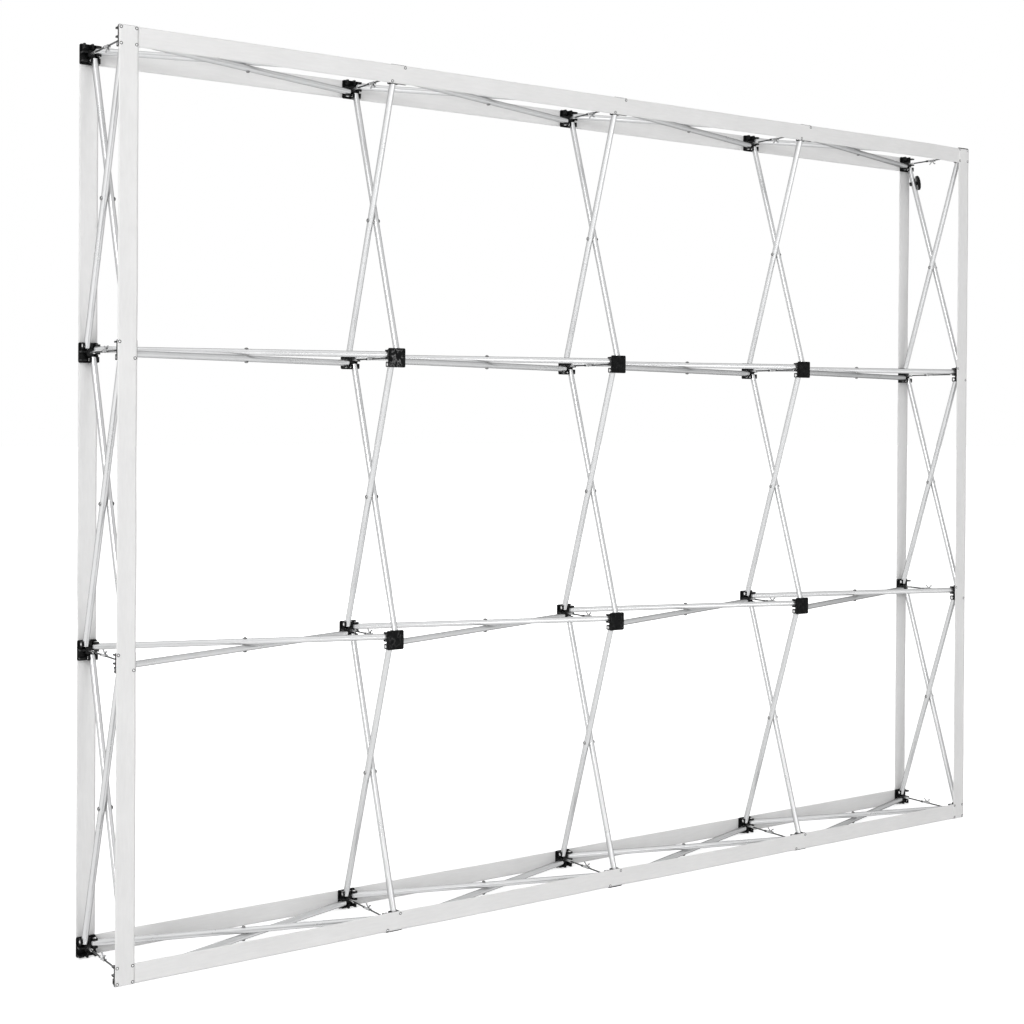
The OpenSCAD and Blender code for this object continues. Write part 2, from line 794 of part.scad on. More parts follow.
latch_hook(0, 2);  // latch_hook_c0_r2
latch_hook(1, 2);  // latch_hook_c1_r2
latch_hook(2, 2);  // latch_hook_c2_r2
latch_hook(3, 2);  // latch_hook_c3_r2
latch_hook(4, 2);  // latch_hook_c4_r2
latch_hook(0, 3);  // latch_hook_c0_r3
latch_hook(1, 3);  // latch_hook_c1_r3
latch_hook(2, 3);  // latch_hook_c2_r3
latch_hook(3, 3);  // latch_hook_c3_r3
latch_hook(4, 3);  // latch_hook_c4_r3
hand_knob();
knob_screw();
knob_nut();
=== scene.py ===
"""Looks of a folding banner wall frame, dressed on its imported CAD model."""

from __future__ import annotations

import json
import logging
import math
from collections.abc import Callable, Iterable
from dataclasses import dataclass, field
from enum import Enum

import bmesh
import bpy
from mathutils import Matrix, Vector, noise

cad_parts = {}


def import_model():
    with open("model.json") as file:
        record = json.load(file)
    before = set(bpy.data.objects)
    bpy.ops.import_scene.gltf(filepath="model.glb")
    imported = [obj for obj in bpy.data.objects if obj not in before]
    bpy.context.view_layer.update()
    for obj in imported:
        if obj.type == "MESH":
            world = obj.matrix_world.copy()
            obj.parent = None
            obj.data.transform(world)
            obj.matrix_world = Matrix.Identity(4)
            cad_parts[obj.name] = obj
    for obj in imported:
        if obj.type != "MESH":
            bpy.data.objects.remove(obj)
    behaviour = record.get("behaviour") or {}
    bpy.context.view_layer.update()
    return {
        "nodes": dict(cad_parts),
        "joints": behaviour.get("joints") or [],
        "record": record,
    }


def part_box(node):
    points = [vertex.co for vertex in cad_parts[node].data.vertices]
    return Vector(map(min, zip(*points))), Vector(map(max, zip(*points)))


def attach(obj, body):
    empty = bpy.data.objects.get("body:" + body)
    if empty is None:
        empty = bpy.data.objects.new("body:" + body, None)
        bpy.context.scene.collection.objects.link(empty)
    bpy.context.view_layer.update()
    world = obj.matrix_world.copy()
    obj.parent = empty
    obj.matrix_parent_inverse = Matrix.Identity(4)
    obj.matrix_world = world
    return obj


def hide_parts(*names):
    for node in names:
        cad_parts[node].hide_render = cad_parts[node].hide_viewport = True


LOG = logging.getLogger("banner_wall")
FRAME_BODY = "frame"
KNOB_BODY = "knob"
# Point attribute with each hook patch's share of painted crease highlight.
GLINT_LAYER = "glint_share"
Triple = tuple[float, float, float]
Colour = Triple
EVEN: Triple = (1.0, 1.0, 1.0)
# Sockets of the Mix node in its colour form
MIX_SHARE, MIX_FIRST, MIX_SECOND, MIX_RESULT = 0, 6, 7, 2
MERGE_DISTANCE = 1e-6
MM_PER_M = 1000.0


def grey(level: float, tint: float = 0.0) -> Colour:
    """Give a grey of one level, with a little more blue than red where it is tinted."""
    return (level, level + tint * 0.5, level + tint)


def smooth_step(low: float, high: float, value: float) -> float:
    """Ease from 0 to 1 as a value goes from one bound to the other.

    Args:
        low: Value at which the result leaves 0.
        high: Value at which the result reaches 1.
        value: The value to ease.

    Returns:
        A number from 0 to 1.
    """
    share = min(max((value - low) / (high - low), 0.0), 1.0)
    return share * share * (3.0 - 2.0 * share)


class NodeBoard:
    """One material's node tree, built up by small steps."""

    def __init__(self, name: str) -> None:
        """Start a material with a Principled shader on its output."""
        self.material = bpy.data.materials.new(name)
        self.material.use_nodes = True
        self.tree = self.material.node_tree
        self.tree.nodes.clear()
        output = self.add("ShaderNodeOutputMaterial")
        self.shader = self.add("ShaderNodeBsdfPrincipled")
        self.join(self.shader.outputs["BSDF"], output.inputs["Surface"])

    def add(self, kind: str, **settings: object) -> bpy.types.Node:
        """Add a node.

        Args:
            kind: Blender's name of the node type.
            **settings: Attributes of the node.

        Returns:
            The new node.
        """
        node = self.tree.nodes.new(kind)
        for key, value in settings.items():
            setattr(node, key, value)
        return node

    def join(self, source: bpy.types.NodeSocket, target: bpy.types.NodeSocket) -> None:
        """Link an output to an input."""
        self.tree.links.new(source, target)

    def feed(self, source: bpy.types.NodeSocket, name: str) -> None:
        """Link an output to one of the shader's own inputs."""
        self.join(source, self.shader.inputs[name])

    def set(self, **values: object) -> None:
        """Set the shader's own sockets, spaces in their names written as underscores."""
        for key, value in values.items():
            self.shader.inputs[key.replace("_", " ")].default_value = value

    def coordinates(self, output: str, stretch: Triple = EVEN) -> bpy.types.NodeSocket:
        """Give texture coordinates.

        Args:
            output: Object or UV.
            stretch: Scale along each axis.

        Returns:
            The socket with the scaled coordinates.
        """
        source = self.add("ShaderNodeTexCoord")
        if stretch == EVEN:
            return source.outputs[output]
        mapping = self.add("ShaderNodeMapping")
        mapping.inputs["Scale"].default_value = stretch
        self.join(source.outputs[output], mapping.inputs["Vector"])
        return mapping.outputs["Vector"]

    def noise(
        self, where: bpy.types.NodeSocket, scale: float, detail: float = 2.0, roughness: float = 0.5
    ) -> bpy.types.NodeSocket:
        """Give a noise value.

        Args:
            where: Coordinates.
            scale: Features per metre.
            detail: Octaves.
            roughness: Share of the finer octaves.

        Returns:
            The socket with the value, about 0.5 on average.
        """
        node = self.add("ShaderNodeTexNoise")
        node.inputs["Scale"].default_value = scale
        node.inputs["Detail"].default_value = detail
        node.inputs["Roughness"].default_value = roughness
        self.join(where, node.inputs["Vector"])
        return node.outputs["Fac"]

    def ranged(
        self, value: bpy.types.NodeSocket, low: float, high: float, start: float = 0.3, end: float = 0.7
    ) -> bpy.types.NodeSocket:
        """Map a value into a range.

        Args:
            value: Socket to map.
            low: Result at the start.
            high: Result at the end.
            start: Input that gives low.
            end: Input that gives high.

        Returns:
            The socket with the mapped value.
        """
        node = self.add("ShaderNodeMapRange")
        node.inputs["From Min"].default_value = start
        node.inputs["From Max"].default_value = end
        node.inputs["To Min"].default_value = low
        node.inputs["To Max"].default_value = high
        self.join(value, node.inputs["Value"])
        return node.outputs["Result"]

    def blend(self, share: bpy.types.NodeSocket, first: Colour, second: Colour) -> bpy.types.NodeSocket:
        """Mix two colours.

        Args:
            share: Socket from 0 to 1.
            first: Colour at 0.
            second: Colour at 1.

        Returns:
            The socket with the mixed colour.
        """
        node = self.add("ShaderNodeMix", data_type="RGBA")
        node.inputs[MIX_FIRST].default_value = (*first, 1.0)
        node.inputs[MIX_SECOND].default_value = (*second, 1.0)
        self.join(share, node.inputs[MIX_SHARE])
        return node.outputs[MIX_RESULT]

    def cover(
        self, share: bpy.types.NodeSocket, under: bpy.types.NodeSocket, over: Colour
    ) -> bpy.types.NodeSocket:
        """Lay one colour over a varied one.

        Args:
            share: Socket from 0 to 1, how far the upper colour covers.
            under: Socket with the lower colour.
            over: Upper colour.

        Returns:
            The socket with the mixed colour.
        """
        node = self.add("ShaderNodeMix", data_type="RGBA")
        self.join(under, node.inputs[MIX_FIRST])
        node.inputs[MIX_SECOND].default_value = (*over, 1.0)
        self.join(share, node.inputs[MIX_SHARE])
        return node.outputs[MIX_RESULT]

    def math(
        self, operation: str, first: bpy.types.NodeSocket, second: bpy.types.NodeSocket | float
    ) -> bpy.types.NodeSocket:
        """Combine two values.

        Args:
            operation: Blender's name of the operation.
            first: First operand.
            second: Second operand, a socket or a number.

        Returns:
            The socket with the result.
        """
        node = self.add("ShaderNodeMath", operation=operation)
        self.join(first, node.inputs[0])
        if isinstance(second, bpy.types.NodeSocket):
            self.join(second, node.inputs[1])
        else:
            node.inputs[1].default_value = second
        return node.outputs[0]

    def bump(self, height: bpy.types.NodeSocket, strength: float, distance: float) -> None:
        """Roughen the shader's surface by a height value."""
        node = self.add("ShaderNodeBump")
        node.inputs["Strength"].default_value = strength
        node.inputs["Distance"].default_value = distance
        self.join(height, node.inputs["Height"])
        self.feed(node.outputs["Normal"], "Normal")


@dataclass(frozen=True)
class MouldedFinish:
    """Injection moulded plastic with a fine matt grain and slightly cloudy gloss.

    Grain, clouds and gloss patches are in features per metre.
    """

    name: str
    dark: Colour
    light: Colour
    gloss_low: float
    gloss_high: float
    clouds: float = 55.0
    gloss_patches: float = 140.0
    grain: float = 1500.0
    grain_strength: float = 0.35
    grain_depth: float = 0.00012
    shine: float = 0.3

    def build(self) -> bpy.types.Material:
        """Make the material."""
        board = NodeBoard(self.name)
        board.set(Specular_IOR_Level=self.shine)
        where = board.coordinates("Object")
        cloud = board.noise(where, self.clouds, 3.0)
        board.feed(board.blend(board.ranged(cloud, 0.0, 1.0), self.dark, self.light), "Base Color")
        patch = board.noise(where, self.gloss_patches, 2.0)
        board.feed(board.ranged(patch, self.gloss_low, self.gloss_high), "Roughness")
        board.bump(board.noise(where, self.grain, 2.0, 0.6), self.grain_strength, self.grain_depth)
        return board.material


@dataclass(frozen=True)
class MetalFinish:
    """Bare metal whose gloss varies with handling and with the marks of how it was made.

    Smears and marks are in features per metre, and mark_share is the marks' part in the tone.
    """

    name: str
    dark: Colour
    light: Colour
    gloss_low: float
    gloss_high: float
    stretch: Triple = EVEN
    smears: float = 9.0
    marks: float = 700.0
    mark_strength: float = 0.3
    mark_depth: float = 0.00002
    metallic: float = 1.0
    rim_tint: float = 1.0
    shine: float = 0.5
    mark_share: float = 0.5
    tone_start: float = 0.35
    tone_end: float = 0.65

    def build(self) -> bpy.types.Material:
        """Make the material."""
        board = NodeBoard(self.name)
        board.set(Metallic=self.metallic, Specular_Tint=(*grey(self.rim_tint), 1.0))
        board.set(Specular_IOR_Level=self.shine)
        plain = board.coordinates("Object")
        drawn = board.coordinates("Object", self.stretch)
        smear = board.noise(plain, self.smears, 4.0, 0.6)
        line = board.noise(drawn, self.marks, 3.0, 0.55)
        fine = board.math("MULTIPLY", line, self.mark_share)
        mixed = board.math("ADD", fine, board.math("MULTIPLY", smear, 1.0 - self.mark_share))
        tone = board.ranged(mixed, 0.0, 1.0, self.tone_start, self.tone_end)
        gloss = board.ranged(mixed, self.gloss_low, self.gloss_high, self.tone_start, self.tone_end)
        board.feed(board.blend(tone, self.dark, self.light), "Base Color")
        board.feed(gloss, "Roughness")
        board.bump(line, self.mark_strength, self.mark_depth)
        return board.material


@dataclass(frozen=True)
class RivetFinish:
    """Bright rivet head with a painted shade ring round its dome, on a darker burnished rim, on a UV map
    whose U is the radius.
    """

    name: str
    dome: Colour
    shade_ring: Colour
    dome_r: float
    metallic: float = 0.5
    scratches: float = 900.0
    scratch_strength: float = 0.25
    scratch_depth: float = 0.00004
    gloss_low: float = 0.2
    gloss_high: float = 0.38
    edge_wander: float = 0.0002
    edge_width: float = 0.0003

    def build(self) -> bpy.types.Material:
        """Make the material."""
        board = NodeBoard(self.name)
        board.set(Metallic=self.metallic)
        parts = board.add("ShaderNodeSeparateXYZ")
        board.join(board.coordinates("UV"), parts.inputs[0])
        scratch = board.noise(board.coordinates("Object"), self.scratches, 3.0, 0.6)
        # Beyond the dome the colour turns to the painted shade ring, the rim's contact shadow laid on darker
        # burnished steel.
        wander = board.ranged(scratch, -self.edge_wander, self.edge_wander)
        edge = board.math("ADD", parts.outputs["X"], wander)
        share = board.ranged(edge, 0.0, 1.0, self.dome_r, self.dome_r + self.edge_width)
        board.feed(board.blend(share, self.dome, self.shade_ring), "Base Color")
        board.feed(board.ranged(scratch, self.gloss_low, self.gloss_high), "Roughness")
        board.bump(scratch, self.scratch_strength, self.scratch_depth)
        return board.material


@dataclass(frozen=True)
class LoopTapeFinish:
    """White loop tape: a soft pile between two woven edges, on a UV map in metres.

    Pile, tufts and stains are in features per metre, and tufts are drawn out along the tape.
    """

    name: str
    pile_dark: Colour
    pile_light: Colour
    edge: Colour
    half_width: float
    edge_width: float = 0.0028
    edge_fade: float = 0.00056
    pile: float = 1100.0
    tufts: float = 160.0
    tuft_stretch: Triple = (0.15, 1.0, 1.0)
    tuft_share: float = 0.45
    stains: float = 5.0
    tone_start: float = 0.38
    tone_end: float = 0.62
    rib_pitch: float = 0.0009
    rib_low: float = 0.35
    rib_high: float = 0.65
    relief_strength: float = 0.28
    relief_depth: float = 0.0004

    def build(self) -> bpy.types.Material:
        """Make the material."""
        board = NodeBoard(self.name)
        board.set(Roughness=0.92, Sheen_Weight=0.25, Sheen_Roughness=0.5)
        where = board.coordinates("UV")
        parts = board.add("ShaderNodeSeparateXYZ")
        board.join(where, parts.inputs[0])
        across = board.math("ABSOLUTE", parts.outputs["Y"], 0.0)
        field_end = self.half_width - self.edge_width
        rim = board.ranged(across, 0.0, 1.0, field_end, field_end + self.edge_fade)
        pile = board.noise(where, self.pile, 4.0, 0.7)
        tuft = board.noise(board.coordinates("UV", self.tuft_stretch), self.tufts, 3.0, 0.6)
        stain = board.noise(where, self.stains, 4.0, 0.55)
        tufted = board.math("MULTIPLY", tuft, self.tuft_share)
        stained = board.math("MULTIPLY", stain, 1.0 - self.tuft_share)
        mixed = board.math("ADD", tufted, stained)
        shade = board.ranged(mixed, 0.0, 1.0, self.tone_start, self.tone_end)
        colour = board.blend(shade, self.pile_dark, self.pile_light)
        board.feed(board.cover(rim, colour, self.edge), "Base Color")
        turns = board.math("MULTIPLY", parts.outputs["X"], 2.0 * math.pi / self.rib_pitch)
        rib = board.ranged(board.math("SINE", turns, 0.0), self.rib_low, self.rib_high, -1.0, 1.0)
        inside = board.math("SUBTRACT", board.math("MULTIPLY", rim, -1.0), -1.0)
        relief = board.math("ADD", board.math("MULTIPLY", rib, rim), board.math("MULTIPLY", pile, inside))
        board.bump(relief, self.relief_strength, self.relief_depth)
        return board.material


@dataclass(frozen=True)
class HookTapeFinish:
    """Black hook tape: rows of tiny hooks under painted crease highlights, on a UV map in metres.

    How strongly the painted crease highlights show comes from an attribute of a patch's points.
    Fluff and creases are in features per metre.
    """

    name: str
    dark: Colour
    light: Colour
    crease_highlight: Colour
    pitch: float = 0.0013
    unevenness: float = 0.25
    fluff: float = 70.0
    hook_share: float = 0.3
    hook_core: float = 0.1
    hook_edge: float = 0.55
    tone_start: float = 0.2
    tone_end: float = 0.8
    creases: float = 58.0
    crease_stretch: Triple = (1.0, 1.0, 0.6)
    crease_width: float = 0.045
    crease_faintest: float = 0.15
    break_start: float = 0.38
    break_end: float = 0.62
    relief_strength: float = 0.7
    relief_depth: float = 0.0006

    def build(self) -> bpy.types.Material:
        """Make the material."""
        board = NodeBoard(self.name)
        board.set(Roughness=0.8, Specular_IOR_Level=0.06)
        where = board.coordinates("UV")
        cell = board.add("ShaderNodeTexVoronoi")
        cell.inputs["Scale"].default_value = 1.0 / self.pitch
        cell.inputs["Randomness"].default_value = self.unevenness
        board.join(where, cell.inputs["Vector"])
        hook = board.ranged(cell.outputs["Distance"], 1.0, 0.0, self.hook_core, self.hook_edge)
        fluff = board.noise(where, self.fluff, 4.0, 0.6)
        hooks = board.math("MULTIPLY", hook, self.hook_share)
        tone = board.math("ADD", hooks, board.math("MULTIPLY", fluff, 1.0 - self.hook_share))
        shade = board.ranged(tone, 0.0, 1.0, self.tone_start, self.tone_end)
        under = board.blend(shade, self.dark, self.light)
        # The pale crease lines are painted highlights, the light that crumples of the tape catch, broken up
        # by the fluff and scaled per patch.
        wave = board.noise(board.coordinates("Object", self.crease_stretch), self.creases, 3.0, 0.5)
        away = board.math("ABSOLUTE", board.math("SUBTRACT", wave, 0.5), 0.0)
        line = board.ranged(away, 1.0, 0.0, 0.0, self.crease_width)
        glint_breakup = board.ranged(fluff, self.crease_faintest, 1.0, self.break_start, self.break_end)
        broken = board.math("MULTIPLY", line, glint_breakup)
        glint_share = board.add("ShaderNodeAttribute", attribute_name=GLINT_LAYER)
        painted_glint = board.math("MULTIPLY", broken, glint_share.outputs["Fac"])
        board.feed(board.cover(painted_glint, under, self.crease_highlight), "Base Color")
        board.bump(board.math("ADD", tone, painted_glint), self.relief_strength, self.relief_depth)
        return board.material


def white_rays(tree: bpy.types.NodeTree) -> bpy.types.NodeSocket:
    """Tell the rays that see a white surround: the camera's, and those in metal and glass.

    Args:
        tree: Node tree that gets the nodes.

    Returns:
        The socket that is 1 for those rays.
    """
    path = tree.nodes.new("ShaderNodeLightPath")
    socket = path.outputs["Is Camera Ray"]
    for name in ("Is Glossy Ray", "Is Transmission Ray"):
        larger = tree.nodes.new("ShaderNodeMath")
        larger.operation = "MAXIMUM"
        tree.links.new(socket, larger.inputs[0])
        tree.links.new(path.outputs[name], larger.inputs[1])
        socket = larger.outputs[0]
    return socket


@dataclass(frozen=True)
class FloorFinish:
    """Pale floor that the camera sees as white, with the object's shadow kept on it.

    The glow grows from near_glow at near_r metres from the middle to far_glow at far_r.
    """

    name: str = "pale_floor"
    seen_albedo: float = 0.95
    near_glow: float = 0.54
    far_glow: float = 0.70
    near_r: float = 1.8
    far_r: float = 7.0
    real_albedo: float = 0.9

    def build(self) -> bpy.types.Material:
        """Make the material."""
        board = NodeBoard(self.name)
        output = next(n for n in board.tree.nodes if n.bl_idname == "ShaderNodeOutputMaterial")
        board.set(Base_Color=(*grey(self.real_albedo), 1.0), Roughness=1.0, Specular_IOR_Level=0.0)
        seen = board.add("ShaderNodeBsdfDiffuse")
        seen.inputs["Color"].default_value = (*grey(self.seen_albedo), 1.0)
        glow = board.add("ShaderNodeEmission")
        reach = board.add("ShaderNodeVectorMath", operation="LENGTH")
        board.join(board.coordinates("Object"), reach.inputs[0])
        level = board.ranged(reach.outputs["Value"], self.near_glow, self.far_glow, self.near_r, self.far_r)
        board.join(level, glow.inputs["Strength"])
        total = board.add("ShaderNodeAddShader")
        board.join(seen.outputs[0], total.inputs[0])
        board.join(glow.outputs[0], total.inputs[1])
        choice = board.add("ShaderNodeMixShader")
        board.join(white_rays(board.tree), choice.inputs[0])
        board.join(board.shader.outputs[0], choice.inputs[1])
        board.join(total.outputs[0], choice.inputs[2])
        board.join(choice.outputs[0], output.inputs["Surface"])
        return board.material


class Finish(Enum):
    """Every finish of the wall, by the record's material slot."""

    HUB = MouldedFinish("hub_plastic", grey(0.002, 0.0003), grey(0.006, 0.0008), 0.36, 0.54, shine=0.15)
    PLUG = MouldedFinish("plug_plastic", grey(0.50, 0.02), grey(0.60, 0.02), 0.35, 0.5)
    WASHER = MouldedFinish("washer_plastic", grey(0.74, -0.02), grey(0.82, -0.02), 0.4, 0.5)
    KNOB = MouldedFinish("knob_plastic", grey(0.002, 0.0003), grey(0.005, 0.0005), 0.38, 0.5, shine=0.09)
    TUBE = MetalFinish(
        "tube_aluminium",
        grey(0.58, 0.008),
        grey(0.62, 0.008),
        0.27,
        0.31,
        marks=180.0,
        mark_depth=0.000004,
        metallic=0.8,
        rim_tint=0.0,
        shine=0.0,
        mark_share=0.2,
    )
    PIN = MetalFinish("pin_steel", grey(0.62), grey(0.76), 0.14, 0.26, rim_tint=0.1)
    CROSS = MetalFinish("cross_rivet_steel", grey(0.16), grey(0.28), 0.2, 0.34, rim_tint=0.1)
    # The rivets' second grey is a painted shade ring round each dome, on a darker burnished rim.
    RIVET = RivetFinish("band_rivet_steel", grey(0.74), grey(0.085, 0.002), 0.0021)
    ROD = MetalFinish(
        "rod_steel", grey(0.03, 0.003), grey(0.09, 0.004), 0.25, 0.42, stretch=(1.0, 0.03, 1.0), marks=900.0
    )
    FERRULE = MetalFinish(
        "ferrule_metal",
        grey(0.93),
        grey(0.98),
        0.26,
        0.36,
        stretch=(0.05, 1.0, 0.05),
        marks=1500.0,
        rim_tint=0.6,
    )
    HOOK = MetalFinish(
        "hook_steel", grey(0.30, 0.005), grey(0.44, 0.006), 0.2, 0.36, stretch=(0.3, 0.1, 1.0), marks=1100.0
    )
    SCREW = MetalFinish("screw_steel", grey(0.34, 0.005), grey(0.46, 0.01), 0.22, 0.38)
    BAND = LoopTapeFinish("band_fabric", grey(0.78, -0.005), grey(0.83, -0.005), grey(0.83, -0.005), 0.024)
    # The patch's third grey is its painted crease highlight.
    PATCH = HookTapeFinish("patch_fabric", grey(0.001, 0.0002), grey(0.020, 0.001), grey(0.26))


class Paint:
    """Makes each finish once and puts it on pieces and CAD nodes."""

    def __init__(self) -> None:
        """Start with nothing made."""
        self.made: dict[Finish, bpy.types.Material] = {}

    def material(self, finish: Finish) -> bpy.types.Material:
        """Give a finish's material, made on first use."""
        if finish not in self.made:
            self.made[finish] = finish.value.build()
        return self.made[finish]

    def dress(self, piece: bpy.types.Object, finish: Finish) -> None:
        """Cover a piece with one finish."""
        piece.data.materials.clear()
        piece.data.materials.append(self.material(finish))


@dataclass(frozen=True)
class Lattice:
    """The grid of hubs, in metres, in the row frame."""

    pitch: float = 0.732
    depth: float = 0.256
    plate: float = 0.050
    columns: int = 5
    rows: int = 4

    def column_x(self, i: int) -> float:
        """Place of a column of hubs along the wall."""
        return (i - (self.columns - 1) / 2.0) * self.pitch

    def row_z(self, j: int) -> float:
        """Height of a row of hubs."""
        return self.plate / 2.0 + j * self.pitch


class Face(Enum):
    """The two faces of the wall, with the sign of their outward direction along Y."""

    FRONT = -1.0
    REAR = 1.0


class Side(Enum):
    """The four bands of one face: whether it runs along the wall, and the sign of its place."""

    TOP = (True, 1.0)
    BOTTOM = (True, -1.0)
    LEFT = (False, -1.0)
    RIGHT = (False, 1.0)


def mesh_piece(name: str, shape: bmesh.types.BMesh, smooth: bool = True) -> bpy.types.Object:
    """Turn a finished bmesh into an object of the scene.

    Args:
        name: Name of the piece.
        shape: The shape, which is freed.
        smooth: Whether its faces are shaded smooth.

    Returns:
        The new object, at the origin.
    """
    mesh = bpy.data.meshes.new(name)
    shape.to_mesh(mesh)
    shape.free()
    if smooth:
        mesh.shade_smooth()
    piece = bpy.data.objects.new(name, mesh)
    bpy.context.scene.collection.objects.link(piece)
    return piece


def turned_shape(section: list[tuple[float, float]], steps: int) -> bmesh.types.BMesh:
    """Turn a half section, given as radius and height, once round the Z axis.

    Args:
        section: Points from the axis and back to it.
        steps: Sides of the round.

    Returns:
        The closed shape.
    """
    shape = bmesh.new()
    verts = [shape.verts.new((radius, 0.0, height)) for radius, height in section]
    edges = [shape.edges.new(pair) for pair in zip(verts, verts[1:])]
    bmesh.ops.spin(
        shape,
        geom=verts + edges,
        cent=(0.0, 0.0, 0.0),
        axis=(0.0, 0.0, 1.0),
        angle=2.0 * math.pi,
        steps=steps,
        use_merge=True,
    )
    bmesh.ops.remove_doubles(shape, verts=shape.verts, dist=MERGE_DISTANCE)
    return shape


def add_thickness(piece: bpy.types.Object, thick: float) -> None:
    """Give a sheet its thickness, half on each side."""
    wall = piece.modifiers.new("thickness", "SOLIDIFY")
    wall.thickness = thick
    wall.offset = 0.0


